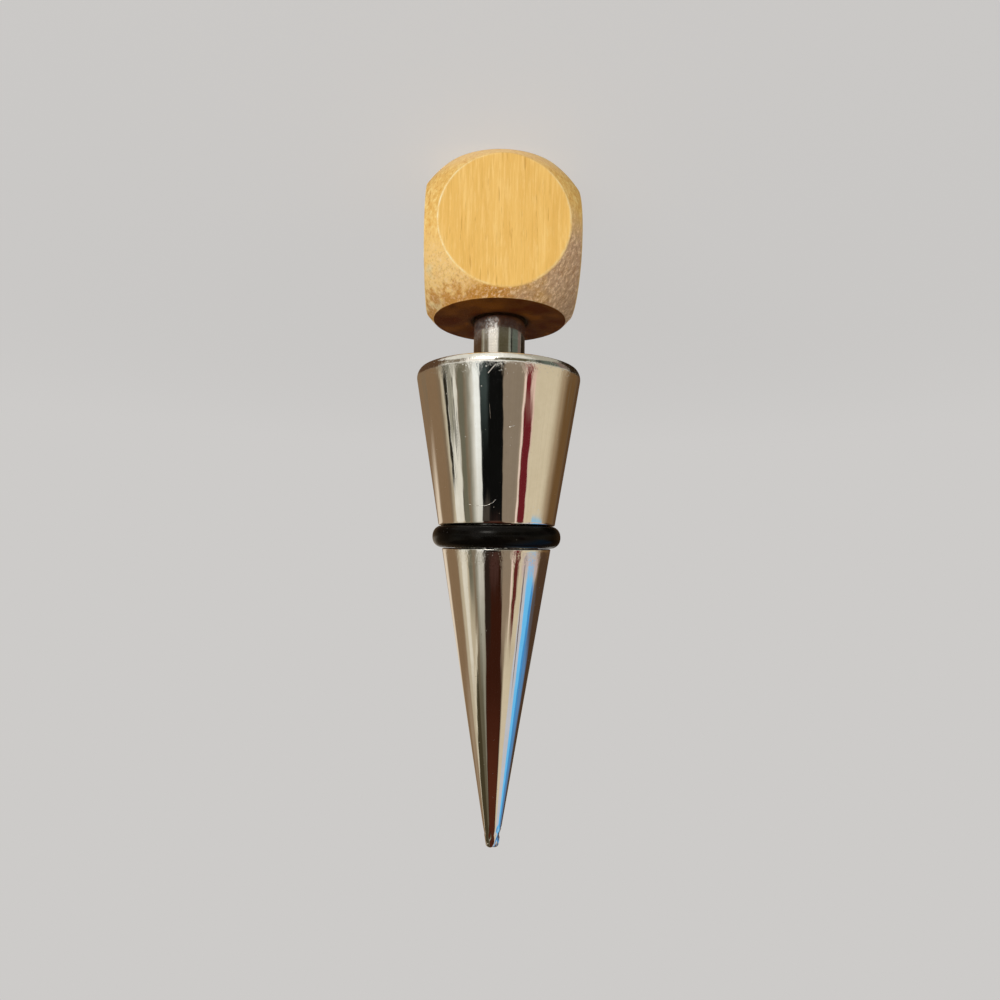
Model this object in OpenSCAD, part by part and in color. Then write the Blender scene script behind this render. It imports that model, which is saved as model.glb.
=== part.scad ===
// Bottle stopper: a wooden die-shaped head on a round metal post, a chromed tapered
// body that goes into the bottle's neck, and a rubber ring that seals it.
// It stands on the flat top of its head, tip up. The origin is the middle of that flat,
// and +Z runs along the stopper's axis, from the head to the tip.

/* [Wooden head] */
// Width of the head across two opposite flat sides
head_w = 25; // [22:0.5:32]
// Height of the head along the stopper
head_h = 24; // [20:0.5:30]
// Diameter of the flat disc that the rounding leaves on each side
face_d = 21.2; // [16:0.2:24]

/* [Post] */
// Diameter of the post
post_d = 8.7; // [6:0.1:11]
// Length of the post that shows between the head and the body
neck_h = 9.1; // [4:0.1:20]
// Depth to which the post goes into the head
post_in_head = 12; // [8:0.5:15]
// Depth to which the post goes into the body
post_in_cone = 12; // [8:0.5:20]
// Bevel on each end of the post
post_bevel = 0.6; // [0.2:0.1:1]

/* [Tapered body] */
// Length of the body from its flat end to its tip
cone_h = 77.6; // [70:0.5:90]
// Diameter at the flat end, before the rim is rounded
rim_d = 28; // [25:0.1:32]
// Diameter at the tip, before it is rounded
tip_d = 2; // [1.8:0.1:4]
// Radius of the rounded rim
rim_round = 1.2; // [0.4:0.1:2.5]
// Radius that blunts the tip
tip_round = 0.4; // [0.2:0.05:0.6]

/* [Sealing ring] */
// Distance of the ring's middle from the tip
ring_from_tip = 50; // [38:0.5:60]
// Thickness of the ring's round section
ring_section = 3.7; // [3:0.1:4.5]
// Height by which the ring stands out of the body
ring_proud = 1.3; // [0.8:0.1:1.6]

/* [Fits] */
// Gap for glue all round the post in both of its holes
glue_gap = 0.05; // [0.02:0.01:0.2]
// Space left at each end of the post
end_gap = 0.3; // [0.1:0.1:1]
// Bevel round the mouth of each hole
mouth_bevel = 0.4; // [0.2:0.1:0.8]
// Gap between the ring and the floor of its groove
floor_gap = 0.05; // [0.02:0.01:0.15]
// Gap on each side of the ring at the walls of its groove
side_gap = 0.12; // [0.05:0.01:0.3]
// Bevel on the two lips of the groove
lip_bevel = 0.2; // [0.1:0.05:0.4]

/* [Hidden] */
$fn = 180;
// Distance by which a cutting shape passes the surface that it cuts
cut = 1;
// Half of a drill's point angle
drill_half_angle = 59;

// Heights above the flat that the stopper stands on
body_base = head_h + neck_h;
tip_height = body_base + cone_h;
ring_height = tip_height - ring_from_tip;

// Radius of the ball that rounds the head: it meets each side in the flat disc's edge
ball_r = sqrt(pow(head_w / 2, 2) + pow(face_d / 2, 2));

// Narrowing of the body's radius for each millimetre of height
taper = (rim_d - tip_d) / 2 / cone_h;
taper_angle = atan(taper);
function body_r(height) = tip_d / 2 + taper * (tip_height - height);

// Middle of the circle that rounds the rim, and of the one that blunts the tip
rim_mid_h = body_base + rim_round;
rim_mid_r = body_r(rim_mid_h) - rim_round / cos(taper_angle);
tip_mid_h = tip_height - tip_round;
tip_mid_r = body_r(tip_mid_h) - tip_round / cos(taper_angle);

// Outer radius of the ring, radius of its middle line, and floor of its groove
ring_r = body_r(ring_height) + ring_proud;
ring_mid_r = ring_r - ring_section / 2;
groove_floor_r = ring_r - ring_section - floor_gap;
groove_half = ring_section / 2 + side_gap;

// Holes for the post
hole_r = post_d / 2 + glue_gap;
hole_in_head = post_in_head + end_gap;
hole_in_cone = post_in_cone + end_gap;

// Drilled blind hole that opens at height 0 and goes up, with a bevelled mouth
module drilled_hole(radius, depth) {
    rotate_extrude()
        polygon([
            [0, -cut],
            [radius + mouth_bevel + cut, -cut],
            [radius, mouth_bevel],
            [radius, depth],
            [0, depth + radius / tan(drill_half_angle)]
        ]);
}

// Box with its corners and edges turned off by a ball
module rounded_die() {
    intersection() {
        cube([head_w, head_w, head_h], center = true);
        sphere(r = ball_r);
    }
}

module wooden_head() {
    color("burlywood")
        difference() {
            translate([0, 0, head_h / 2])
                rounded_die();
            translate([0, 0, head_h])
                mirror([0, 0, 1])
                    drilled_hole(hole_r, hole_in_head);
        }
}

module post() {
    post_r = post_d / 2;
    low_end = head_h - post_in_head;
    high_end = body_base + post_in_cone;
    color("lightsteelblue")
        rotate_extrude()
            polygon([
                [0, low_end],
                [post_r - post_bevel, low_end],
                [post_r, low_end + post_bevel],
                [post_r, high_end - post_bevel],
                [post_r - post_bevel, high_end],
                [0, high_end]
            ]);
}

// Half section of the body: a straight taper, with a circle at the rim and one at the tip
module taper_section() {
    polygon([
        [0, body_base],
        [rim_mid_r, body_base],
        [rim_mid_r + rim_round * cos(taper_angle), rim_mid_h + rim_round * sin(taper_angle)],
        [tip_mid_r + tip_round * cos(taper_angle), tip_mid_h + tip_round * sin(taper_angle)],
        [tip_mid_r, tip_height],
        [0, tip_height]
    ]);
    translate([rim_mid_r, rim_mid_h])
        circle(r = rim_round);
    translate([tip_mid_r, tip_mid_h])
        circle(r = tip_round);
}

// Half section of the ring's groove, square to the axis, with bevelled lips
module groove_section() {
    low_wall = ring_height - groove_half;
    high_wall = ring_height + groove_half;
    low_lip_r = body_r(low_wall);
    high_lip_r = body_r(high_wall);
    polygon([
        [groove_floor_r, low_wall],
        [low_lip_r - lip_bevel, low_wall],
        [low_lip_r + cut, low_wall - lip_bevel - cut],
        [high_lip_r + cut, high_wall + lip_bevel + cut],
        [high_lip_r - lip_bevel, high_wall],
        [groove_floor_r, high_wall]
    ]);
}

module cone_body() {
    color("gainsboro")
        difference() {
            rotate_extrude()
                difference() {
                    taper_section();
                    groove_section();
                }
            translate([0, 0, body_base])
                drilled_hole(hole_r, hole_in_cone);
        }
}

module seal_ring() {
    color("black")
        translate([0, 0, ring_height])
            rotate_extrude()
                translate([ring_mid_r, 0])
                    circle(d = ring_section);
}

wooden_head();
post();
cone_body();
seal_ring();
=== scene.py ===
"""Looks of the bottle stopper: it stands on the flat top of its wooden head, tip up."""
import math
from collections import namedtuple

import bpy
import numpy as np
from mathutils import Matrix, Vector


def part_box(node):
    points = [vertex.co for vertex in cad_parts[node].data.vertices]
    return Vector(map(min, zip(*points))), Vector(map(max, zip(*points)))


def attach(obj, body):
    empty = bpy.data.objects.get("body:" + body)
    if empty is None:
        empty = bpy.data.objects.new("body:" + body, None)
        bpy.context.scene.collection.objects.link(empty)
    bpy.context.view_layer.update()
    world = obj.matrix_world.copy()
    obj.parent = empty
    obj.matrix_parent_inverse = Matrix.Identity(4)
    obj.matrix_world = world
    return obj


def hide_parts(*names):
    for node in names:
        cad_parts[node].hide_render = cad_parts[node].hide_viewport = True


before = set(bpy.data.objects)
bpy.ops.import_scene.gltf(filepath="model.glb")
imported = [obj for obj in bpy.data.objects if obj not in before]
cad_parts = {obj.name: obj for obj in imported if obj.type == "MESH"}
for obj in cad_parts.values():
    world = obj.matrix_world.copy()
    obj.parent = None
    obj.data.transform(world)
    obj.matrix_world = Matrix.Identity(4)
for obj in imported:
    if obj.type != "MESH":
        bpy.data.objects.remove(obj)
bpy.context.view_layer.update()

# ---------------------------------------------------------------- sizes, in millimetres
MM = 0.001
ACROSS = 0
UP = 2


def node_span(node, axis):
    """Lowest and highest place of a node of the frame along an axis, to the nearest micron."""
    low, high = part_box(node)
    return round(low[axis] / MM, 3), round(high[axis] / MM, 3)


# head: the ball leaves a flat disc on each side and on each end, and the edges between them are eased
head_left, head_right = node_span("wooden_head", ACROSS)
HEAD_W = head_right - head_left
HEAD_H = node_span("wooden_head", UP)[1]
END_DISC_R = 11.163
SIDE_DISC_R = 10.3
BALL_R = math.hypot(HEAD_W / 2, SIDE_DISC_R)
BALL_HALF_LENGTH = HEAD_H / 2 / math.sqrt(1.0 - (END_DISC_R / BALL_R) ** 2)
EDGE_EASE = 0.14

# post, and the drilled holes that hold its ends
POST_R = 4.35
POST_LOW, POST_HIGH = node_span("post", UP)
POST_BEVEL = 0.6
HOLE_R = 4.4
HOLE_DEPTH = 12.3
DRILL_HALF_ANGLE = 59
DRILL_POINT = HOLE_R / math.tan(math.radians(DRILL_HALF_ANGLE))
MOUTH_BEVEL = 0.4

# tapered body: a wide rim circle runs into a small corner circle at the flat base
BODY_BASE, TIP_HEIGHT = node_span("cone_body", UP)
RIM_R = 14.0
TIP_R = 1.0
TAPER = (RIM_R - TIP_R) / (TIP_HEIGHT - BODY_BASE)
TAPER_ANGLE = math.atan(TAPER)
RIM_ROUND = 1.8
RIM_MIDDLE_UP = 1.2
RIM_MIDDLE_Z = BODY_BASE + RIM_MIDDLE_UP
RIM_CORNER = 0.15
TIP_ROUND = 0.4

# sealing ring and its groove
ring_low, ring_high = node_span("seal_ring", UP)
RING_HEIGHT = round((ring_low + ring_high) / 2, 3)
RING_SECTION_R = 1.85
RING_MID_R = 8.826
GROOVE_FLOOR_R = 6.926
GROOVE_HALF = 1.90
LIP_ROUND = 0.22
RING_SQUARENESS = 2.2


def body_r(height):
    """Radius of the plain taper: the tip's radius plus the taper times the way down from the tip."""
    return TIP_R + TAPER * (TIP_HEIGHT - height)


# ---------------------------------------------------------------- surfaces from whole arrays
LATTICE = 64
MERGE_STEPS = 1e4


def smooth_step(low, high, value):
    """0 below low, 1 above high, and 3t^2 - 2t^3 between them."""
    t = np.clip((value - low) / (high - low), 0.0, 1.0)
    return t * t * (3.0 - 2.0 * t)


def lattice_noise(points, cell, seed):
    """Noise from -1 to 1: a seeded value at every corner of a lattice of cubes, blended along the three
    axes by 3t^2 - 2t^3 of the place inside the cube."""
    table = np.random.default_rng(seed).uniform(-1.0, 1.0, (LATTICE, LATTICE, LATTICE))
    scaled = points / np.asarray(cell, float)
    low = np.floor(scaled).astype(int)
    t = scaled - low
    t = t * t * (3.0 - 2.0 * t)
    total = np.zeros(len(points))
    for corner in np.ndindex(2, 2, 2):
        spot = (low + corner) % LATTICE
        weight = np.prod(np.where(np.array(corner, bool), t, 1.0 - t), axis=1)
        total += weight * table[spot[:, 0], spot[:, 1], spot[:, 2]]
    return total


def grid_faces(rows, columns, closed):
    """Four-sided faces of a grid of rows x columns points. A closed grid joins its last column to its
    first."""
    row = np.arange(rows - 1)[:, None]
    column = np.arange(columns if closed else columns - 1)[None, :]
    after = (column + 1) % columns
    corners = (row * columns + column, row * columns + after,
               (row + 1) * columns + after, (row + 1) * columns + column)
    return np.stack(np.broadcast_arrays(*corners), axis=-1).reshape(-1, 4)


def lay_mesh(name, points, faces, masks, sharp_degrees=40.0):
    """Puts arrays into a mesh. Points within a step of 1 / MERGE_STEPS mm are merged, a face with two corners
    in one point becomes a triangle, and each mask becomes a float attribute of the points."""
    keys = np.round(points * MERGE_STEPS).astype(np.int64)
    _, first, place = np.unique(keys, axis=0, return_index=True, return_inverse=True)
    place = place.reshape(-1)
    corners = place[faces]
    kept = corners != np.roll(corners, -1, axis=1)
    sides = kept.sum(axis=1)
    kept = kept[sides >= 3]
    corners = corners[sides >= 3]
    sides = sides[sides >= 3]
    mesh = bpy.data.meshes.new(name)
    mesh.vertices.add(len(first))
    mesh.vertices.foreach_set("co", (points[first] * MM).astype(np.float32).ravel())
    mesh.loops.add(int(sides.sum()))
    mesh.loops.foreach_set("vertex_index", corners[kept].astype(np.int32))
    mesh.polygons.add(len(sides))
    starts = np.concatenate([[0], np.cumsum(sides)[:-1]])
    mesh.polygons.foreach_set("loop_start", starts.astype(np.int32))
    mesh.update(calc_edges=True)
    for mask_name, values in masks.items():
        layer = mesh.attributes.new(mask_name, "FLOAT", "POINT")
        layer.data.foreach_set("value", values[first].astype(np.float32))
    mesh.shade_smooth()
    mesh.set_sharp_from_angle(angle=math.radians(sharp_degrees))
    piece = bpy.data.objects.new(name, mesh)
    bpy.context.scene.collection.objects.link(piece)
    return piece


def stretch(start, end, steps, power=1.0):
    """Points from start to end, without the end; a power above 1 crowds them near the start."""
    t = (np.arange(steps) / steps)[:, None] ** power
    return np.asarray(start, float) * (1.0 - t) + np.asarray(end, float) * t


def arc(middle, radius, start_degrees, end_degrees, steps):
    """Points of a circle's arc, without its end."""
    angle = np.radians(start_degrees + (end_degrees - start_degrees) * np.arange(steps) / steps)
    return np.column_stack([middle[0] + radius * np.cos(angle), middle[1] + radius * np.sin(angle)])


def revolve(profile, around):
    """Every profile point (r, z) goes round the axis: x = r cos a, y = r sin a, with a in equal steps."""
    angle = 2.0 * np.pi * np.arange(around) / around
    radius = profile[:, :1]
    height = np.repeat(profile[:, 1:], around, axis=1)
    points = np.stack([radius * np.cos(angle), radius * np.sin(angle), height], axis=-1)
    return points.reshape(-1, 3), grid_faces(len(profile), around, True)


# ---------------------------------------------------------------- wooden head
HEAD_AROUND = 320
HEAD_MIDDLE = np.array([0.0, 0.0, HEAD_H / 2])
BAND_ROWS = 18
# how deep the turned skin lies below the ball, and how much deeper its torn places lie
SKIN_DEPTH = 0.008
TORN_DEPTH = 0.062
# everything of the hole is above this height
HOLE_ABOVE = 3.0


def side_frame(axis, sign):
    """Outward direction of a side, and two directions in it that turn anticlockwise seen from outside."""
    out = np.zeros(3)
    out[axis] = sign
    first = np.zeros(3)
    first[(axis + 1) % 3] = 1.0
    return out, first, np.cross(out, first)


def ball_reach(direction):
    """Distance from the head's middle to the ball that turned it, which is a little longer than it is wide:
    1 / square root of ((x^2 + y^2) / R^2 + z^2 / L^2) for a direction of length 1."""
    flatwise = direction[..., 0] ** 2 + direction[..., 1] ** 2
    return 1.0 / np.sqrt(flatwise / BALL_R ** 2 + direction[..., 2] ** 2 / BALL_HALF_LENGTH ** 2)


def eased_reach(flat, ball):
    """The nearer of the flat and the ball, with the edge between them eased by a smooth minimum."""
    gap = np.abs(flat - ball)
    return np.minimum(flat, ball) - np.maximum(EDGE_EASE - gap, 0.0) ** 2 / (4.0 * EDGE_EASE)


def spread(tilt, turn, side, half):
    """Points at a tilt from the side's outward direction and a turn round it, on the eased surface."""
    out, first, second = side
    across = np.cos(turn)[..., None] * first + np.sin(turn)[..., None] * second
    direction = np.cos(tilt)[..., None] * out + np.sin(tilt)[..., None] * across
    reach = eased_reach(half / np.cos(tilt), ball_reach(direction))
    return HEAD_MIDDLE + reach[..., None] * direction


def disc_radius(turn, side, half):
    """Radius at which the ball leaves the flat of a side, in the direction of a turn round it."""
    out, first, second = side
    across = np.cos(turn)[..., None] * first + np.sin(turn)[..., None] * second
    outward = half / ball_reach(out)
    return np.sqrt(1.0 - outward ** 2) * ball_reach(across)


def flat_disc(side, half):
    """The flat disc of a side, on a square grid whose squares become rings: the ring's size m is the larger
    of |a| and |b|, its radius is the disc's x (1 - (1 - m)^1.5), and the turn is 45 degrees x b / a in each
    quarter."""
    count = HEAD_AROUND // 4
    line = np.linspace(-1.0, 1.0, count + 1)
    a, b = np.meshgrid(line, line, indexing="ij")
    ring = np.maximum(np.abs(a), np.abs(b))
    safe = np.where(ring > 0, ring, 1.0)
    wide = np.abs(a) >= np.abs(b)
    quarter = np.where(wide, b / safe, a / safe) * np.pi / 4
    turn = np.where(wide, np.where(a >= 0, quarter, np.pi - quarter),
                    np.where(b >= 0, np.pi / 2 - quarter, -np.pi / 2 + quarter))
    radius = disc_radius(turn, side, half) * (1.0 - (1.0 - ring) ** 1.5)
    points = spread(np.arctan(radius / half), turn, side, half)
    return points.reshape(-1, 3), grid_faces(count + 1, count + 1, False)[:, ::-1]


def ball_band(side, half, rows):
    """From the disc's edge to the border with the four neighbours, which is at the tilt
    atan(1 / max(|cos turn|, |sin turn|)), in rows that crowd at the disc's edge."""
    turn = 2.0 * np.pi * np.arange(HEAD_AROUND) / HEAD_AROUND
    inner = np.arctan(disc_radius(turn, side, half) / half)
    outer = np.arctan(1.0 / np.maximum(np.abs(np.cos(turn)), np.abs(np.sin(turn))))
    step = (np.arange(rows + 1) / rows)[:, None] ** 1.4
    tilt = inner + (outer - inner) * step
    points = spread(tilt, np.broadcast_to(turn, tilt.shape), side, half)
    return points.reshape(-1, 3), grid_faces(rows + 1, HEAD_AROUND, True)[:, ::-1]


def bored_side():
    """The side with the hole, as a profile turned in the same steps as its band: up the drilled wall, over
    the bevelled mouth and out along the flat to the edge of its disc."""
    top = HEAD_H
    floor = top - HOLE_DEPTH
    profile = np.concatenate([
        stretch((0.0, floor - DRILL_POINT), (HOLE_R, floor), 6),
        stretch((HOLE_R, floor), (HOLE_R, top - MOUTH_BEVEL), 16),
        stretch((HOLE_R, top - MOUTH_BEVEL), (HOLE_R + MOUTH_BEVEL, top), 3),
        stretch((HOLE_R + MOUTH_BEVEL, top), (END_DISC_R, top), 26),
        [(END_DISC_R, top)],
    ])
    points, faces = revolve(profile, HEAD_AROUND)
    flat = np.maximum(np.linalg.norm(points - HEAD_MIDDLE, axis=1), 1e-6)
    ball = ball_reach((points - HEAD_MIDDLE) / flat[:, None])
    on_flat = points[:, 2] > top - 1e-6
    scale = np.where(on_flat, eased_reach(flat, ball) / flat, 1.0)[:, None]
    return HEAD_MIDDLE + (points - HEAD_MIDDLE) * scale, faces[:, ::-1]


def head_surface():
    """Points and faces of the six sides: five flat discs and a bored one, each with its band of the ball."""
    half_of = (HEAD_W / 2, HEAD_W / 2, HEAD_H / 2)
    all_points = []
    all_faces = []
    count = 0
    for axis in (0, 1, 2):
        half = half_of[axis]
        for sign in (-1.0, 1.0):
            side = side_frame(axis, sign)
            bored = axis == UP and sign > 0
            disc = bored_side() if bored else flat_disc(side, half)
            for points, faces in (disc, ball_band(side, half, BAND_ROWS)):
                all_points.append(points)
                all_faces.append(faces + count)
                count += len(points)
    return np.concatenate(all_points), np.concatenate(all_faces), np.array(half_of)


def make_head():
    """The six sides of the die, with the ball's bands torn: they lie up to 0.07 mm deeper where the noise is
    high, so nothing stands out of the ball. Four masks say where the skin is turned or ragged, where the edge
    of a flat is, and where painted shade darkens the wood round the hole."""
    points, faces, half_of = head_surface()
    from_middle = points - HEAD_MIDDLE
    reach = np.linalg.norm(from_middle, axis=1)
    steepness = np.max(np.abs(from_middle) / half_of, axis=1)
    safe_reach = np.maximum(reach, 1e-6)
    to_flat = ball_reach(from_middle / safe_reach[:, None]) - reach / np.maximum(steepness, 1e-6)
    in_hole = np.hypot(points[:, 0], points[:, 1]) < HOLE_R + MOUTH_BEVEL + 0.1
    in_hole &= points[:, 2] > HOLE_ABOVE
    turned = np.where(in_hole, 0.0, smooth_step(0.02, 0.35, -to_flat))
    # mask of the painted highlight along the eased edge of each flat
    edge = np.exp(-((to_flat + 0.03) / 0.11) ** 2)
    edge = np.where(in_hole | (points[:, 2] > HEAD_H - 0.9), 0.0, edge)

    # the skin tears in grains of about 1 and 1/3 mm, and most towards the hole and -X
    coarse = lattice_noise(points, (0.9, 0.9, 1.3), 3)
    fine = lattice_noise(points, (0.34, 0.34, 0.5), 4)
    broad = lattice_noise(points, 4.5, 5)
    towards_hole = points[:, 2] + 2.4 * broad - 0.16 * points[:, 0]
    ragged = smooth_step(HEAD_H - 14.0, HEAD_H - 6.5, towards_hole)
    torn = np.clip(0.45 * coarse + 0.65 * fine + 0.1, 0.0, 1.0) * (0.18 + 0.82 * ragged)
    depth = turned * (SKIN_DEPTH + TORN_DEPTH * torn)
    points = points - from_middle / safe_reach[:, None] * depth[:, None]

    from_axis = np.hypot(points[:, 0], points[:, 1])
    # painted shade: the wood darkens towards black within 1.5 mm of the hole and on its wall
    hole_shade = np.where(points[:, 2] > HOLE_ABOVE, smooth_step(HOLE_R + 1.5, HOLE_R + 0.1, from_axis), 0.0)
    low_edge = smooth_step(HEAD_H - 1.1, HEAD_H - 0.6, points[:, 2])
    skinned = np.maximum(turned, low_edge)
    masks = {"turned": skinned, "flat_edge": edge, "ragged": ragged * skinned, "hole_shade": hole_shade}
    return lay_mesh("head_turned_wood", points, faces, masks, sharp_degrees=60.0)


# ---------------------------------------------------------------- post
POST_AROUND = 160
POST_WAVE = 0.002
POST_WAVE_TURN = 1.7


def make_post():
    """Revolved pin with a bevel at each end. Its wall narrows by up to 4 microns: the radius is
    R - w (1 - cos k z), with w the wave's depth and k its turn in radians for each millimetre."""
    wall = stretch((POST_R, POST_LOW + POST_BEVEL), (POST_R, POST_HIGH - POST_BEVEL), 72)
    wall[:, 0] -= POST_WAVE * (1.0 - np.cos(wall[:, 1] * POST_WAVE_TURN))
    profile = np.concatenate([
        stretch((0.0, POST_LOW), (POST_R - POST_BEVEL, POST_LOW), 5),
        stretch((POST_R - POST_BEVEL, POST_LOW), (POST_R, POST_LOW + POST_BEVEL), 3),
        wall,
        stretch((POST_R, POST_HIGH - POST_BEVEL), (POST_R - POST_BEVEL, POST_HIGH), 3),
        stretch((POST_R - POST_BEVEL, POST_HIGH), (0.0, POST_HIGH), 5),
        [(0.0, POST_HIGH)],
    ])
    points, faces = revolve(profile, POST_AROUND)
    return lay_mesh("post_satin_pin", points, faces, {})


# ---------------------------------------------------------------- tapered body
BODY_AROUND = 288
# the cast skin's wander, and the length and depth of the dents at the tip
SKIN_WANDER = 0.005
DENTED_LENGTH = 4.0
DENT_DEPTH = 0.30


def body_profile():
    """Half section: drill point, hole wall, bevelled mouth, flat base, small corner circle that runs into the
    rim circle, taper, groove with rounded lips, taper, tip circle."""
    low_wall = RING_HEIGHT - GROOVE_HALF
    high_wall = RING_HEIGHT + GROOVE_HALF
    lean = math.degrees(TAPER_ANGLE)

    def rounding(height, radius):
        """Middle of a circle that touches the taper from inside, and the point where it touches."""
        middle = (body_r(height) - radius / math.cos(TAPER_ANGLE), height)
        touch = (middle[0] + radius * math.cos(TAPER_ANGLE), middle[1] + radius * math.sin(TAPER_ANGLE))
        return middle, touch

    rim_middle, rim_top = rounding(RIM_MIDDLE_Z, RIM_ROUND)
    turn = -math.asin((RIM_MIDDLE_Z - BODY_BASE - RIM_CORNER) / (RIM_ROUND - RIM_CORNER))
    inset = RIM_ROUND - RIM_CORNER
    corner_middle = (rim_middle[0] + inset * math.cos(turn), rim_middle[1] + inset * math.sin(turn))
    turn = math.degrees(turn)
    low_middle, low_touch = rounding(low_wall - LIP_ROUND, LIP_ROUND)
    high_middle, high_touch = rounding(high_wall + LIP_ROUND, LIP_ROUND)
    tip_middle, tip_base = rounding(TIP_HEIGHT - TIP_ROUND, TIP_ROUND)
    hole_top = BODY_BASE + HOLE_DEPTH
    return np.concatenate([
        stretch((0.0, hole_top + DRILL_POINT), (HOLE_R, hole_top), 4),
        stretch((HOLE_R, hole_top), (HOLE_R, BODY_BASE + MOUTH_BEVEL), 6),
        stretch((HOLE_R, BODY_BASE + MOUTH_BEVEL), (HOLE_R + MOUTH_BEVEL, BODY_BASE), 2),
        stretch((HOLE_R + MOUTH_BEVEL, BODY_BASE), (corner_middle[0], BODY_BASE), 16),
        arc(corner_middle, RIM_CORNER, -90.0, turn, 6),
        arc(rim_middle, RIM_ROUND, turn, lean, 14),
        stretch(rim_top, low_touch, 84),
        arc(low_middle, LIP_ROUND, lean, 90.0, 6),
        stretch((low_middle[0], low_wall), (GROOVE_FLOOR_R, low_wall), 4),
        stretch((GROOVE_FLOOR_R, low_wall), (GROOVE_FLOOR_R, high_wall), 6),
        stretch((GROOVE_FLOOR_R, high_wall), (high_middle[0], high_wall), 4),
        arc(high_middle, LIP_ROUND, -90.0, lean, 6),
        stretch(high_touch, tip_base, 132),
        arc(tip_middle, TIP_ROUND, lean, 90.0, 6),
        stretch((tip_middle[0], TIP_HEIGHT), (0.0, TIP_HEIGHT), 4),
        [(0.0, TIP_HEIGHT)],
    ])


def make_body():
    """Revolved half section. The cast skin wanders by 10 microns, and the last 4 mm of the tip are dented
    inwards by up to 0.3 mm, mostly on the side away from +X."""
    points, faces = revolve(body_profile(), BODY_AROUND)
    radius = np.hypot(points[:, 0], points[:, 1])
    outside = (radius > GROOVE_FLOOR_R + 0.3) | (points[:, 2] > RING_HEIGHT + GROOVE_HALF)
    outside &= (radius > HOLE_R + 1.0) | (points[:, 2] > RING_HEIGHT)
    skin = SKIN_WANDER * (1.0 + lattice_noise(points, (5.0, 5.0, 11.0), 11))
    tip = smooth_step(TIP_HEIGHT - DENTED_LENGTH, TIP_HEIGHT - 0.45 * DENTED_LENGTH, points[:, 2])
    away = 0.35 + 0.65 * smooth_step(-0.3, 0.5, -points[:, 0] / np.maximum(radius, 0.05))
    dents = np.clip(lattice_noise(points, (0.42, 0.42, 0.5), 12) + 0.15, 0.0, 1.0)
    depth = np.where(outside, skin + DENT_DEPTH * tip * away * dents, 0.0)
    depth = np.minimum(depth, 0.5 * radius)
    keep = 1.0 - depth / np.maximum(radius, 1e-6)
    points = np.column_stack([points[:, 0] * keep, points[:, 1] * keep, points[:, 2]])
    masks = {"bent": tip * away * dents}
    return lay_mesh("body_chromed_taper", points, faces, masks, sharp_degrees=30.0)


# ---------------------------------------------------------------- sealing ring
RING_AROUND = 256
SECTION_AROUND = 48
RING_WANDER = 0.03


def make_ring():
    """A pressed circle carried round the axis: r = mid + s cos b, z = height + s sin b, where the section's
    radius is s = S / (|cos b|^n + |sin b|^n)^(1/n), n above 2 fills the corners as in a tight groove, and s
    shrinks by up to 0.03 mm with the noise."""
    turn = 2.0 * np.pi * np.arange(RING_AROUND)[None, :] / RING_AROUND
    bend = 2.0 * np.pi * np.arange(SECTION_AROUND + 1)[:, None] / SECTION_AROUND
    power = RING_SQUARENESS
    size = RING_SECTION_R / (np.abs(np.cos(bend)) ** power + np.abs(np.sin(bend)) ** power) ** (1.0 / power)
    radius = RING_MID_R + size * np.cos(bend)
    height = RING_HEIGHT + size * np.sin(bend)
    full = np.stack([radius * np.cos(turn), radius * np.sin(turn), height + 0.0 * turn], axis=-1)
    full = full.reshape(-1, 3)
    middle = np.stack([RING_MID_R * np.cos(turn) + 0.0 * bend, RING_MID_R * np.sin(turn) + 0.0 * bend,
                       RING_HEIGHT + 0.0 * (turn + bend)], axis=-1).reshape(-1, 3)
    wander = 0.5 + 0.5 * lattice_noise(full, 2.2, 21)
    points = middle + (full - middle) * (1.0 - RING_WANDER * wander[:, None] / RING_SECTION_R)
    return lay_mesh("ring_black_rubber", points, grid_faces(SECTION_AROUND + 1, RING_AROUND, True), {})


# ---------------------------------------------------------------- node helpers
def paint(red, green, blue):
    """A colour as it shows on a screen, 0 to 255, turned into the shader's linear values."""
    values = [c / 255.0 for c in (red, green, blue)]
    return tuple(c / 12.92 if c <= 0.04045 else ((c + 0.055) / 1.055) ** 2.4 for c in values) + (1.0,)


def add(tree, kind, settings=None, inputs=None):
    """A node with its settings, and its inputs set to a value or linked from a socket."""
    node = tree.nodes.new(kind)
    for key, value in (settings or {}).items():
        setattr(node, key, value)
    for key, value in (inputs or {}).items():
        if isinstance(value, bpy.types.NodeSocket):
            tree.links.new(value, node.inputs[key])
        else:
            node.inputs[key].default_value = value
    return node


def maths(tree, operation, first, second=0.0, clamp=False):
    """One Math node, and its result."""
    settings = {"operation": operation, "use_clamp": clamp}
    return add(tree, "ShaderNodeMath", settings, {0: first, 1: second}).outputs[0]


def span(tree, value, low, high, to_low=0.0, to_high=1.0, smooth=True):
    """A value from low to high, spread from to_low to to_high, and held at its ends."""
    settings = {"interpolation_type": "SMOOTHSTEP" if smooth else "LINEAR"}
    inputs = {"Value": value, "From Min": low, "From Max": high, "To Min": to_low, "To Max": to_high}
    return add(tree, "ShaderNodeMapRange", settings, inputs).outputs["Result"]


def mix(tree, factor, first, second, way="MIX"):
    """The first colour at factor 0 and the second at 1."""
    settings = {"data_type": "RGBA", "blend_type": way}
    return add(tree, "ShaderNodeMix", settings, {0: factor, 6: first, 7: second}).outputs[2]


def ramp(tree, factor, stops):
    """A colour ramp with the stops (position, colour)."""
    node = add(tree, "ShaderNodeValToRGB", None, {"Fac": factor})
    elements = node.color_ramp.elements
    while len(elements) < len(stops):
        elements.new(0.5)
    for element, (position, colour) in zip(elements, stops):
        element.position = position
        element.color = colour
    return node.outputs["Color"]


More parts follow.
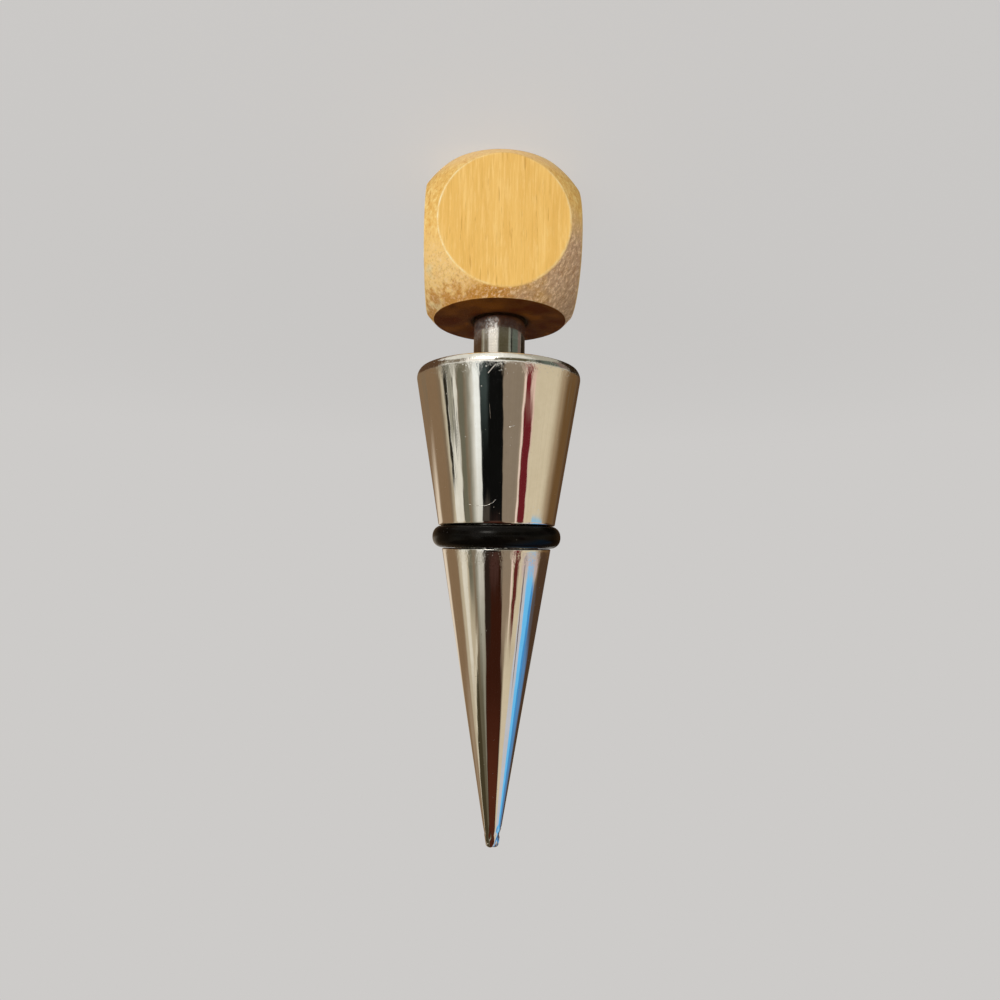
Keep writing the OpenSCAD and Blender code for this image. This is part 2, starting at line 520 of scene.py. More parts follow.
def scaled(tree, vector, scale, turn=(0.0, 0.0, 0.0), shift=(0.0, 0.0, 0.0)):
    """The vector stretched along the axes, then turned and shifted."""
    inputs = {"Vector": vector, "Scale": scale, "Rotation": turn, "Location": shift}
    return add(tree, "ShaderNodeMapping", None, inputs).outputs["Vector"]


def noise(tree, vector, scale, detail=2.0, roughness=0.5, distortion=0.0):
    """Noise from 0 to 1, mostly near 0.5."""
    inputs = {"Vector": vector, "Scale": scale, "Detail": detail, "Roughness": roughness,
              "Distortion": distortion}
    return add(tree, "ShaderNodeTexNoise", None, inputs).outputs["Fac"]


def bump(tree, height, distance, normal=None):
    """A normal bent by a height, whose unit is the distance in metres."""
    inputs = {"Height": height, "Distance": distance, "Strength": 1.0}
    if normal is not None:
        inputs["Normal"] = normal
    return add(tree, "ShaderNodeBump", None, inputs).outputs["Normal"]


def object_millimetres(tree):
    """The place on the piece in millimetres, and the direction that the surface faces."""
    place = add(tree, "ShaderNodeTexCoord")
    return scaled(tree, place.outputs["Object"], (1000.0, 1000.0, 1000.0)), place.outputs["Normal"]


def start_group(name, inputs, outputs):
    """Empty shader node group; inputs are (name, kind, start value), outputs are (name, kind)."""
    group = bpy.data.node_groups.new(name, "ShaderNodeTree")
    for label, kind, value in inputs:
        socket = group.interface.new_socket(label, in_out="INPUT", socket_type=kind)
        if value is not None:
            socket.default_value = value
    for label, kind in outputs:
        group.interface.new_socket(label, in_out="OUTPUT", socket_type=kind)
    entry = group.nodes.new("NodeGroupInput")
    leave = group.nodes.new("NodeGroupOutput")
    return group, entry.outputs, leave.inputs


def place_group(tree, group, inputs):
    """A node that uses a group with these inputs, and its outputs."""
    return add(tree, "ShaderNodeGroup", {"node_tree": group}, inputs).outputs


def start_material(name):
    """A material with a Principled shader on its output."""
    material = bpy.data.materials.new(name)
    material.use_nodes = True
    tree = material.node_tree
    tree.nodes.clear()
    shader = add(tree, "ShaderNodeBsdfPrincipled")
    output = add(tree, "ShaderNodeOutputMaterial")
    tree.links.new(shader.outputs["BSDF"], output.inputs["Surface"])
    return material, tree, shader


def join(tree, socket, shader, name):
    """Links a varying colour, value or normal to the shader's input of that name."""
    tree.links.new(socket, shader.inputs[name])


# ---------------------------------------------------------------- effects that several finishes share
def make_speck_group():
    """Small round specks: cells of a Voronoi pattern whose own random value passes the threshold, drawn as a
    soft dot round the cell's point."""
    group, given, taken = start_group(
        "fine_specks",
        [("Place", "NodeSocketVector", None), ("Scale", "NodeSocketFloat", 3.0),
         ("Size", "NodeSocketFloat", 0.25), ("Share", "NodeSocketFloat", 0.3)],
        [("Mask", "NodeSocketFloat")])
    cells = add(group, "ShaderNodeTexVoronoi", None, {"Vector": given["Place"], "Scale": given["Scale"]})
    pick = add(group, "ShaderNodeSeparateColor", None, {"Color": cells.outputs["Color"]})
    chosen = maths(group, "LESS_THAN", pick.outputs["Red"], given["Share"])
    dot = span(group, cells.outputs["Distance"], 0.0, given["Size"], 1.0, 0.0)
    group.links.new(maths(group, "MULTIPLY", chosen, dot), taken["Mask"])
    return group


def make_hairline_group():
    """A straight hairline between two points: the distance of the surface from the line, measured square to
    the Y axis, turned into a soft mask of the given width, and only where Y is below zero."""
    group, given, taken = start_group(
        "hairline",
        [("Place", "NodeSocketVector", None), ("Start", "NodeSocketVector", None),
         ("End", "NodeSocketVector", None), ("Width", "NodeSocketFloat", 0.1)],
        [("Mask", "NodeSocketFloat")])
    flatten = {1: (1.0, 0.0, 1.0)}
    place = add(group, "ShaderNodeVectorMath", {"operation": "MULTIPLY"}, {0: given["Place"], **flatten})
    reach = add(group, "ShaderNodeVectorMath", {"operation": "SUBTRACT"},
                {0: given["End"], 1: given["Start"]})
    away = add(group, "ShaderNodeVectorMath", {"operation": "SUBTRACT"},
               {0: place.outputs[0], 1: given["Start"]})
    along = add(group, "ShaderNodeVectorMath", {"operation": "DOT_PRODUCT"},
                {0: away.outputs[0], 1: reach.outputs[0]})
    whole = add(group, "ShaderNodeVectorMath", {"operation": "DOT_PRODUCT"},
                {0: reach.outputs[0], 1: reach.outputs[0]})
    share = maths(group, "DIVIDE", along.outputs["Value"], whole.outputs["Value"], True)
    nearest = add(group, "ShaderNodeVectorMath", {"operation": "SCALE"},
                  {0: reach.outputs[0], "Scale": share})
    off = add(group, "ShaderNodeVectorMath", {"operation": "DISTANCE"},
              {0: away.outputs[0], 1: nearest.outputs[0]})
    line = span(group, off.outputs["Value"], 0.0, given["Width"], 1.0, 0.0)
    front = add(group, "ShaderNodeSeparateXYZ", None, {"Vector": given["Place"]})
    seen = maths(group, "LESS_THAN", front.outputs["Y"], 0.0)
    group.links.new(maths(group, "MULTIPLY", line, seen), taken["Mask"])
    return group


def make_wear_group():
    """Uneven handling: broad and fine noise together, spread between two values."""
    group, given, taken = start_group(
        "uneven_finish",
        [("Place", "NodeSocketVector", None), ("Scale", "NodeSocketFloat", 0.3),
         ("Low", "NodeSocketFloat", 0.0), ("High", "NodeSocketFloat", 1.0)],
        [("Value", "NodeSocketFloat")])
    broad = noise(group, given["Place"], given["Scale"], 4.0, 0.6)
    fine = noise(group, given["Place"], maths(group, "MULTIPLY", given["Scale"], 9.0), 3.0, 0.6)
    both = maths(group, "ADD", maths(group, "MULTIPLY", broad, 0.65), maths(group, "MULTIPLY", fine, 0.35))
    group.links.new(span(group, both, 0.35, 0.65, given["Low"], given["High"]), taken["Value"])
    return group


specks = make_speck_group()
hairline = make_hairline_group()
uneven = make_wear_group()


# ---------------------------------------------------------------- finishes
# hairlines from use on the chrome's front: start, end and width, in millimetres
CHROME_HAIRLINES = (
    ((2.2, 0.0, 36.3), (1.1, 0.0, 35.0), 0.06),
    ((4.8, 0.0, 55.85), (3.3, 0.0, 56.1), 0.018),
    ((3.3, 0.0, 56.1), (2.0, 0.0, 56.0), 0.022),
    ((2.0, 0.0, 56.0), (1.1, 0.0, 55.6), 0.026),
    ((1.1, 0.0, 55.6), (0.7, 0.0, 55.15), 0.03),
    ((-1.1, 0.0, 44.2), (-2.0, 0.0, 44.0), 0.03),
    ((1.9, 0.0, 40.9), (1.7, 0.0, 43.0), 0.010),
)


# wood: the heart of the growth layers lies this far to one side, and a layer is this wide, in millimetres
HEART = (-46.0, 17.0, 0.0)
LAYER_WIDTH = 2.3
Grain = namedtuple("Grain", "late broad fibres threads strokes pores")


def make_grain(tree, place):
    """Dark late wood of the growth layers round the heart, and noises that are stretched along the axis: slow
    bands, fibres, threads, strokes and pores."""
    wander = noise(tree, scaled(tree, place, (0.22, 0.22, 0.05)), 1.0, 2.0)
    heart = scaled(tree, place, (1.0, 1.0, 0.0), shift=HEART)
    far = add(tree, "ShaderNodeVectorMath", {"operation": "LENGTH"}, {0: heart}).outputs["Value"]
    layers = maths(tree, "ADD", maths(tree, "DIVIDE", far, LAYER_WIDTH), maths(tree, "MULTIPLY", wander, 1.3))
    layer = maths(tree, "FRACT", layers)
    late = maths(tree, "MULTIPLY", span(tree, layer, 0.45, 0.95), span(tree, layer, 1.0, 0.95))
    broad = noise(tree, scaled(tree, place, (0.35, 0.35, 0.04)), 1.0, 2.0, 0.5)
    fibres = noise(tree, scaled(tree, place, (2.6, 2.6, 0.17)), 1.0, 4.0, 0.64)
    threads = noise(tree, scaled(tree, place, (5.2, 5.2, 0.40)), 1.0, 3.0, 0.62)
    strokes = noise(tree, scaled(tree, place, (2.3, 2.3, 0.19), shift=(7.0, 3.0, 1.0)), 1.0, 3.0, 0.5)
    pores = noise(tree, scaled(tree, place, (4.0, 4.0, 0.22), shift=(2.0, 8.0, 5.0)), 1.0, 2.0, 0.4)
    return Grain(late, broad, fibres, threads, strokes, span(tree, pores, 0.70, 0.76))


def paint_flats(tree, grain):
    """The planed flats: honey bands, darker late wood, light and dark fibres and threads, brown strokes."""
    colour = ramp(tree, span(tree, grain.broad, 0.3, 0.7, smooth=False), [
        (0.0, paint(238, 188, 101)), (0.5, paint(243, 194, 107)), (1.0, paint(247, 200, 114))])
    layers = (
        (maths(tree, "MULTIPLY", grain.late, 0.18), (228, 174, 86)),
        (span(tree, grain.fibres, 0.50, 0.68, 0.0, 0.62), (255, 214, 136)),
        (span(tree, grain.fibres, 0.48, 0.32, 0.0, 0.42), (226, 176, 90)),
        (span(tree, grain.threads, 0.53, 0.74, 0.0, 0.45), (255, 222, 150)),
        (span(tree, grain.threads, 0.46, 0.28, 0.0, 0.26), (224, 170, 86)),
        (span(tree, grain.strokes, 0.62, 0.71, 0.0, 0.60), (206, 150, 70)),
        (maths(tree, "MULTIPLY", grain.pores, 0.32), (180, 124, 56)),
    )
    for mask, tone in layers:
        colour = mix(tree, mask, colour, paint(*tone))
    return colour


def paint_torn_band(tree, place, parts):
    """The torn skin of the ball's bands: honey towards +X, orange below the flat, pinkish towards -X, with
    pale spots, a burnt lower edge, flecks and crumbs. Gives its colour, and the flecks and crumbs."""
    across = noise(tree, scaled(tree, place, (0.28, 0.28, 0.28), shift=(3.0, 0.0, 5.0)), 1.0, 3.0, 0.6)
    across = maths(tree, "ADD", parts.outputs["X"], span(tree, across, 0.3, 0.7, -3.5, 3.5, False))
    band = ramp(tree, span(tree, across, -12.0, 12.0, smooth=False), [
        (0.0, paint(200, 162, 130)), (0.26, paint(200, 160, 122)), (0.40, paint(212, 162, 98)),
        (0.54, paint(218, 158, 72)), (0.70, paint(246, 200, 126)), (1.0, paint(252, 210, 134))])
    pale_spot = noise(tree, scaled(tree, place, (0.2, 0.2, 0.2), shift=(1.0, 2.0, 9.0)), 1.0, 2.0)
    pale_side = span(tree, parts.outputs["X"], 5.0, 9.0)
    pale_spot = maths(tree, "MULTIPLY", span(tree, pale_spot, 0.50, 0.62), pale_side)
    band = mix(tree, maths(tree, "MULTIPLY", pale_spot, 0.7), band, paint(232, 214, 164))

    # burnt orange along the lower edge, mostly towards +X
    scorch = noise(tree, scaled(tree, place, (0.55, 0.55, 0.7), shift=(4.0, 4.0, 4.0)), 1.0, 4.0, 0.6)
    height = maths(tree, "ADD", parts.outputs["Z"], span(tree, scorch, 0.3, 0.7, -3.0, 3.0, False))
    burnt_side = span(tree, parts.outputs["X"], -3.5, 1.0)
    scorch = maths(tree, "MULTIPLY", span(tree, height, HEAD_H - 3.4, HEAD_H - 0.2), burnt_side)
    band = mix(tree, maths(tree, "MULTIPLY", scorch, 0.8), band, paint(196, 126, 40))

    tilted = scaled(tree, place, (1.0, 1.0, 1.0), turn=(0.0, -0.6, 0.0))
    flecks = noise(tree, scaled(tree, tilted, (2.6, 2.0, 1.2)), 1.0, 4.0, 0.72, 0.4)
    crumbs = noise(tree, scaled(tree, place, (1.7, 1.7, 1.3)), 1.0, 5.0, 0.68)
    lively = span(tree, parts.outputs["X"], 7.0, -3.0, 0.5, 1.0)
    light_flecks = maths(tree, "MULTIPLY", span(tree, flecks, 0.52, 0.62, 0.0, 0.8), lively)
    dark_flecks = maths(tree, "MULTIPLY", span(tree, flecks, 0.47, 0.36, 0.0, 0.55), lively)
    band = mix(tree, light_flecks, band, paint(250, 218, 176))
    band = mix(tree, dark_flecks, band, paint(154, 108, 66))
    band = mix(tree, span(tree, crumbs, 0.53, 0.70, 0.0, 0.55), band, paint(196, 132, 58))
    band = mix(tree, span(tree, crumbs, 0.47, 0.32, 0.0, 0.5), band, paint(255, 224, 172))
    return band, flecks, crumbs


def paint_smooth_band(tree, parts, colour, crumbs):
    """The bands where they aren't torn: the wood of the flats with light and dark crumbs, and a painted
    highlight that makes them paler near the end that the stopper stands on."""
    colour = mix(tree, span(tree, crumbs, 0.51, 0.62, 0.0, 0.7), colour, paint(255, 224, 150))
    colour = mix(tree, span(tree, crumbs, 0.46, 0.35, 0.0, 0.6), colour, paint(218, 152, 66))
    # painted highlight, paler over the last 4.5 mm towards the end that stands on the floor
    return mix(tree, span(tree, parts.outputs["Z"], 4.5, 0.5, 0.0, 0.6), colour, paint(255, 220, 168))


def paint_end_grain_and_shade(tree, place):
    """The oiled end grain of the two ends, darker than the flats and darker still as painted shade, with
    dots of cut pores and broad patches.
    """
    dots = noise(tree, scaled(tree, place, (5.0, 5.0, 0.5)), 1.0, 3.0, 0.6)
    colour = ramp(tree, dots, [
        (0.3, paint(98, 50, 14)), (0.5, paint(110, 60, 17)), (0.7, paint(126, 72, 24))])
    patches = noise(tree, scaled(tree, place, (0.2, 0.2, 0.1), shift=(0.0, 6.0, 0.0)), 1.0, 2.0, 0.5)
    colour = mix(tree, span(tree, patches, 0.50, 0.66, 0.0, 0.55), colour, paint(150, 90, 22))
    return mix(tree, span(tree, patches, 0.48, 0.34, 0.0, 0.6), colour, paint(92, 36, 6))


def mask_edge_highlight(tree, place, parts, edge):
    """A painted highlight along the eased edge of each flat: uneven, and strongest towards +X."""
    edge_patches = place_group(tree, uneven, {"Place": place, "Scale": 0.5, "Low": 0.1, "High": 1.0})["Value"]
    side = maths(tree, "ABSOLUTE", maths(tree, "ADD", parts.outputs["X"], 1.0))
    side = span(tree, side, 1.5, 6.5, 0.15, 1.0)
    side = maths(tree, "MULTIPLY", side, span(tree, parts.outputs["X"], -6.0, 7.0, 0.8, 1.15))
    return maths(tree, "MULTIPLY", maths(tree, "MULTIPLY", edge, edge_patches), side, True)


def make_wood():
    """Straight-grained pale hardwood, oiled: growth layers, fibres and pores along the axis, darker end grain
    with painted shade in it, and a torn, paler skin on the ball's bands. Painted shade darkens the wood round
    the hole, and painted highlights lie along the flats' edges and near the end that it stands on."""
    material, tree, shader = start_material("head_oiled_wood")
    place, facing = object_millimetres(tree)
    parts = add(tree, "ShaderNodeSeparateXYZ", None, {"Vector": place})
    turned, ragged, edge, hole_shade = (
        add(tree, "ShaderNodeAttribute", {"attribute_name": mask}).outputs["Fac"]
        for mask in ("turned", "ragged", "flat_edge", "hole_shade"))

    grain = make_grain(tree, place)
    colour = paint_flats(tree, grain)
    band, flecks, crumbs = paint_torn_band(tree, place, parts)
    colour = mix(tree, turned, colour, paint_smooth_band(tree, parts, colour, crumbs))
    colour = mix(tree, maths(tree, "MULTIPLY", ragged, 0.95), colour, band)
    up = add(tree, "ShaderNodeSeparateXYZ", None, {"Vector": facing})
    # the ends' end grain, whose very dark tones are partly painted shade
    end = span(tree, maths(tree, "ABSOLUTE", up.outputs["Z"]), 0.76, 0.90)
    colour = mix(tree, end, colour, paint_end_grain_and_shade(tree, place))
    # painted shade round the hole that holds the post, nearly black
    colour = mix(tree, maths(tree, "MULTIPLY", hole_shade, 0.9), colour, paint(26, 14, 8))
    # painted highlight along the eased edges of the flats
    colour = mix(tree, mask_edge_highlight(tree, place, parts, edge), colour, paint(255, 236, 184))
    join(tree, colour, shader, "Base Color")

    rough = place_group(tree, uneven, {"Place": place, "Scale": 0.3, "Low": 0.46, "High": 0.60})["Value"]
    rough = maths(tree, "ADD", rough, maths(tree, "MULTIPLY", ragged, 0.25), True)
    join(tree, rough, shader, "Roughness")
    shader.inputs["Specular IOR Level"].default_value = 0.08
    sunk_pores = maths(tree, "MULTIPLY", grain.pores, -0.6)
    relief = maths(tree, "ADD", maths(tree, "MULTIPLY", grain.fibres, 0.5), sunk_pores)
    relief = maths(tree, "ADD", relief, maths(tree, "MULTIPLY", grain.threads, 0.4))
    fuzz = maths(tree, "ADD", maths(tree, "MULTIPLY", flecks, 2.4), maths(tree, "MULTIPLY", crumbs, 2.0))
    height = add(tree, "ShaderNodeMix", {"data_type": "FLOAT"}, {0: ragged, 2: relief, 3: fuzz})
    join(tree, bump(tree, height.outputs[0], 0.00005), shader, "Normal")
    return material


def mask_glue_and_highlight(tree, parts, crumbs, blotched_height):
    """Pale crumbs near the head: between X 0 and 3, where the mirrored highlight runs, a painted highlight
    that carries it on, and a thin rest of dried glue elsewhere.
    """
    near_head = span(tree, blotched_height, HEAD_H + 5.0, HEAD_H + 2.4)
    glue_and_highlight = maths(tree, "MULTIPLY", span(tree, crumbs, 0.36, 0.66, 0.25, 1.0), near_head)
    glue_and_highlight = maths(tree, "MULTIPLY", glue_and_highlight, span(tree, parts.outputs["X"], 0.0, 0.9, 0.08, 1.0))
    glue_and_highlight = maths(tree, "MULTIPLY", glue_and_highlight, span(tree, parts.outputs["X"], 2.9, 1.5, 0.22, 1.0))
    return maths(tree, "MULTIPLY", glue_and_highlight, span(tree, parts.outputs["Z"], HEAD_H + 0.2, HEAD_H + 1.4))


def make_post_metal():
    """Plain turned steel, satin: fine rings round the axis and faint handling marks. Near the head it is
    darker, and pale crumbs lie on it: a thin rest of dried glue, and a painted highlight where the
    mirrored highlight runs."""
    material, tree, shader = start_material("post_satin_steel")
    place, _ = object_millimetres(tree)
    rings = noise(tree, scaled(tree, place, (0.05, 0.05, 7.0)), 1.0, 4.0, 0.7)
    blotch = noise(tree, scaled(tree, place, (0.7, 0.7, 0.5)), 1.0, 3.0, 0.6)
    dust = place_group(tree, specks, {"Place": place, "Scale": 1.6, "Size": 0.22, "Share": 0.16})["Mask"]
    colour = mix(tree, span(tree, rings, 0.3, 0.7), paint(222, 217, 208), paint(236, 233, 226))
    colour = mix(tree, maths(tree, "MULTIPLY", dust, 0.4), colour, paint(150, 142, 130))
    parts = add(tree, "ShaderNodeSeparateXYZ", None, {"Vector": place})
    # the colour darkens by up to 45 percent over the last 3.4 mm next to the head, with a blotchy border
    blotched_height = maths(tree, "ADD", parts.outputs["Z"], span(tree, blotch, 0.3, 0.7, -0.5, 0.5, False))
    darker_near_head = span(tree, blotched_height, HEAD_H + 3.4, HEAD_H + 1.2, 0.0, 0.45)
    colour = mix(tree, darker_near_head, colour, paint(120, 108, 104))
    crumbs = noise(tree, scaled(tree, place, (3.2, 3.2, 2.4)), 1.0, 3.0, 0.6)
    # pale crumbs near the head: a painted highlight between X 0 and 3, a thin rest of dried glue elsewhere
    glue_and_highlight = mask_glue_and_highlight(tree, parts, crumbs, blotched_height)
    colour = mix(tree, maths(tree, "MULTIPLY", glue_and_highlight, 0.9), colour, paint(250, 246, 238))
    join(tree, colour, shader, "Base Color")
    rough = place_group(tree, uneven, {"Place": place, "Scale": 0.5, "Low": 0.08, "High": 0.14})["Value"]
    join(tree, rough, shader, "Roughness")
    join(tree, maths(tree, "SUBTRACT", 1.0, maths(tree, "MULTIPLY", glue_and_highlight, 0.85)), shader, "Metallic")
    wave = bump(tree, blotch, 0.000012)
    join(tree, bump(tree, rings, 0.0000012, wave), shader, "Normal")
    return material


def mask_hairlines(tree, place):
    """All the hairlines together, each at its own width."""
    marks = None
    for start, end, width in CHROME_HAIRLINES:
        ends = {"Start": start, "End": end, "Width": width}
        line = place_group(tree, hairline, {"Place": place, **ends})["Mask"]
        marks = line if marks is None else maths(tree, "MAXIMUM", marks, line)
    return marks


def make_chrome():
    """Warm mirror chrome on a casting: a slight ripple, pits and frosty specks near the rim and the ring, and
    a few hairlines from use."""
    material, tree, shader = start_material("body_warm_chrome")
    place, _ = object_millimetres(tree)
    parts = add(tree, "ShaderNodeSeparateXYZ", None, {"Vector": place})
    height = parts.outputs["Z"]
    ripple = noise(tree, scaled(tree, place, (0.30, 0.30, 0.09)), 1.0, 2.0, 0.5)
    crackle = noise(tree, scaled(tree, place, (1.9, 1.9, 0.9)), 1.0, 4.0, 0.62)
    rim_zone = span(tree, height, BODY_BASE + 4.5, BODY_BASE + 0.9)
    past_groove = span(tree, height, RING_HEIGHT + 1.3, RING_HEIGHT + 2.1)
    near_ring = span(tree, height, RING_HEIGHT + 5.9, RING_HEIGHT + 2.3)
    ring_zone = maths(tree, "MULTIPLY", near_ring, past_groove)
    zone = maths(tree, "MAXIMUM", rim_zone, maths(tree, "MULTIPLY", ring_zone, 0.7))
    dense = place_group(tree, specks, {"Place": place, "Scale": 2.4, "Size": 0.36, "Share": 0.5})["Mask"]
    sparse = place_group(tree, specks, {"Place": place, "Scale": 1.3, "Size": 0.11, "Share": 0.24})["Mask"]
    pits = maths(tree, "MAXIMUM", maths(tree, "MULTIPLY", dense, zone), sparse)
    bent = add(tree, "ShaderNodeAttribute", {"attribute_name": "bent"}).outputs["Fac"]
    marks = mask_hairlines(tree, place)

    tone = place_group(tree, uneven, {"Place": place, "Scale": 0.12, "Low": 0.0, "High": 1.0})["Value"]
    colour = mix(tree, tone, paint(246, 243, 237), paint(252, 250, 246))
    join(tree, colour, shader, "Base Color")
    shader.inputs["Metallic"].default_value = 1.0
    rough = place_group(tree, uneven, {"Place": place, "Scale": 0.25, "Low": 0.03, "High": 0.055})["Value"]
    rough = maths(tree, "ADD", rough, maths(tree, "MULTIPLY", pits, 0.45))
    rough = maths(tree, "ADD", rough, maths(tree, "MULTIPLY", marks, 0.32))
    rough = maths(tree, "ADD", rough, maths(tree, "MULTIPLY", bent, 0.2), True)
    join(tree, rough, shader, "Roughness")
    wave = bump(tree, ripple, 0.00003)
    wave = bump(tree, maths(tree, "MULTIPLY", crackle, zone), 0.00004, wave)
    wave = bump(tree, maths(tree, "SUBTRACT", 0.0, maths(tree, "ADD", pits, marks)), 0.000012, wave)
    join(tree, wave, shader, "Normal")
    return material


def make_rubber():
    """Black rubber, satin from handling, with a fine moulded skin and a little dust."""
    material, tree, shader = start_material("ring_black_rubber")
    place, _ = object_millimetres(tree)
    skin = noise(tree, place, 2.2, 3.0, 0.6)
    dust = place_group(tree, specks, {"Place": place, "Scale": 1.5, "Size": 0.2, "Share": 0.16})["Mask"]
    tone = place_group(tree, uneven, {"Place": place, "Scale": 0.3, "Low": 0.0, "High": 1.0})["Value"]
    colour = mix(tree, tone, paint(5, 4, 3), paint(13, 10, 7))
    colour = mix(tree, maths(tree, "MULTIPLY", dust, 0.5), colour, paint(92, 86, 78))
    join(tree, colour, shader, "Base Color")
    rough = place_group(tree, uneven, {"Place": place, "Scale": 0.4, "Low": 0.16, "High": 0.28})["Value"]
    join(tree, rough, shader, "Roughness")
    shader.inputs["Specular IOR Level"].default_value = 0.09
    join(tree, bump(tree, skin, 0.000012), shader, "Normal")
    return material


# ---------------------------------------------------------------- surroundings
BACKDROP = paint(205, 203, 201)


def make_card_group():
    """Mask of a soft card in the room. Its sides lean with the elevation: an edge is at its azimuth plus the
    lean times the elevation. Its ends rise by the slope times the azimuth. All angles are in degrees."""
    group, given, taken = start_group(
        "soft_card",
        [("Azimuth", "NodeSocketFloat", 0.0), ("Elevation", "NodeSocketFloat", 0.0),
         ("From", "NodeSocketFloat", 0.0), ("From lean", "NodeSocketFloat", 0.0),
         ("To", "NodeSocketFloat", 0.0), ("To lean", "NodeSocketFloat", 0.0),
         ("Bottom", "NodeSocketFloat", 0.0), ("Top", "NodeSocketFloat", 90.0),
         ("Blur", "NodeSocketFloat", 1.0), ("End blur", "NodeSocketFloat", 3.0),
         ("Slope", "NodeSocketFloat", 0.0)],
        [("Mask", "NodeSocketFloat")])

    def edge(value, middle, blur):
        """0 below the middle and 1 above it, blurred on both sides."""
        low = maths(group, "SUBTRACT", middle, blur)
        high = maths(group, "ADD", middle, blur)
        return span(group, value, low, high)

    start_shift = maths(group, "MULTIPLY", given["From lean"], given["Elevation"])
    start = maths(group, "ADD", given["From"], start_shift)
    stop_shift = maths(group, "MULTIPLY", given["To lean"], given["Elevation"])
    stop = maths(group, "ADD", given["To"], stop_shift)
    inside = maths(group, "SUBTRACT", edge(given["Azimuth"], start, given["Blur"]),
                   edge(given["Azimuth"], stop, given["Blur"]), True)
    climb = maths(group, "MULTIPLY", given["Slope"], given["Azimuth"])
    rise = maths(group, "SUBTRACT", given["Elevation"], climb)
    level = maths(group, "SUBTRACT", edge(rise, given["Bottom"], given["End blur"]),
                  edge(rise, given["Top"], given["End blur"]), True)
    group.links.new(maths(group, "MULTIPLY", inside, level), taken["Mask"])
    return group


Card = namedtuple("Card", "name start start_lean stop stop_lean bottom top slope blur end_blur shake tone")

